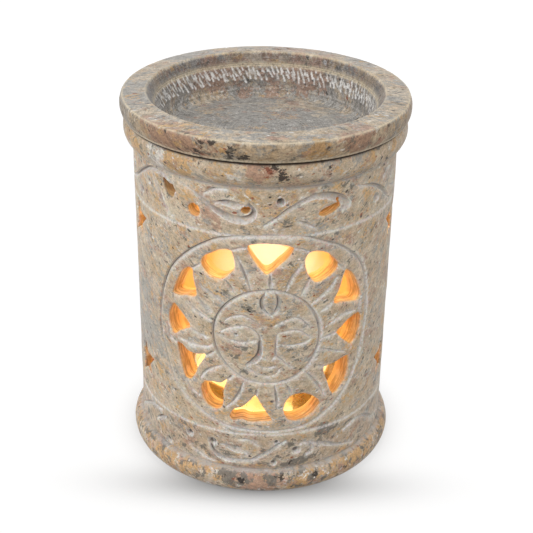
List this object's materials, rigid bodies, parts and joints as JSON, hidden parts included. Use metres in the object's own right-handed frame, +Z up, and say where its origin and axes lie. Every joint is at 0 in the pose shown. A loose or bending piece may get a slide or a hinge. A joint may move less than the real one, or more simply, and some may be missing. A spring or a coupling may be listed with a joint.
{
  "type": "essential oil burner",
  "caption": "Round carved soapstone oil burner: a pierced lantern body with a sun face, a lift-off dish for oil on top, and a tealight candle that goes in through an arch at the back.",
  "frame": {"origin": "middle of the flat face that the burner stands on", "axes": "+Z up along the turned body's axis; the sun looks towards -Y and the candle arch is at +Y"},
  "size_m": [0.0742, 0.0742, 0.1],
  "materials": {
    "soapstone": "carved and rubbed smooth, mottled beige and grey",
    "cup_metal": "pressed foil, bright",
    "candle_wax": "paraffin wax",
    "wick_cotton": "braided cotton, charred at the tip",
    "tab_metal": "tinned"
  },
  "bodies": {
    "lantern": {"lantern_body": "soapstone"},
    "dish": {"oil_dish": "soapstone"},
    "tealight": {"tealight_cup": "cup_metal", "tealight_wax": "candle_wax", "tealight_wick": "wick_cotton", "wick_sustainer": "tab_metal"}
  },
  "joints": [
    {"name": "dish_lift", "type": "slide", "parent": "lantern", "child": "dish", "axis": [0, 0, 1], "range_m": [0, 0.03]},
    {"name": "tealight_slide", "type": "slide", "parent": "lantern", "child": "tealight", "axis": [0, 1, 0], "range_m": [0, 0.06]}
  ]
}
